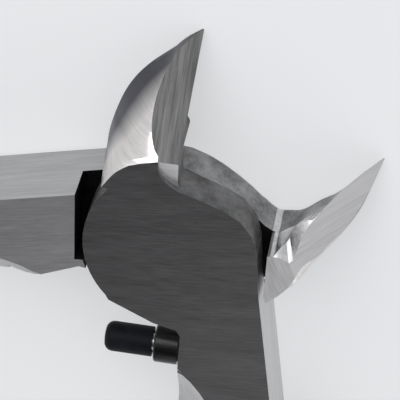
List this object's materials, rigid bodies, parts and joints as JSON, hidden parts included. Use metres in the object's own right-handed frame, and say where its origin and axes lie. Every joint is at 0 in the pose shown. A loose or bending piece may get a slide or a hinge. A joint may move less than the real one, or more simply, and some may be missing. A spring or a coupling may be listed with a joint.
{
  "type": "sprue nippers",
  "caption": "Lap-jointed hand nippers for cutting plastic model parts from their sprue, opened wide, with a rubber-capped closing stop, a coil return spring and moulded handles.",
  "frame": {"origin": "on the pivot axis, at the tool's back face, which it rests on", "axes": "+Z along the pivot axis out of the front face, +Y midway between the blades towards their tips, +X towards the back half's blade"},
  "size_m": [0.1272, 0.0963, 0.01],
  "materials": {
    "tool_steel": "brushed, blades ground and forged walls dark",
    "bright_steel": "turned and polished",
    "stop_rubber": "smooth black",
    "grip_plastic": "fine moulded texture",
    "grip_soft": "soft, matt and ribbed"
  },
  "bodies": {
    "front": {"front_half": "tool_steel", "pivot_screw": "bright_steel", "stop_post": "bright_steel", "stop_ring": "bright_steel", "stop_cap": "stop_rubber", "return_spring": "bright_steel", "front_spring_seat": "bright_steel", "front_grip": "grip_plastic", "front_grip_pad": "grip_soft"},
    "back": {"back_half": "tool_steel", "back_spring_seat": "bright_steel", "back_grip": "grip_plastic", "back_grip_pad": "grip_soft"}
  },
  "joints": [
    {"name": "pivot", "type": "hinge", "parent": "front", "child": "back", "pos_m": [0, 0, 0.005], "axis": [0, 0, 1], "range_deg": [0, 64.3], "deforming": ["return_spring"]}
  ]
}
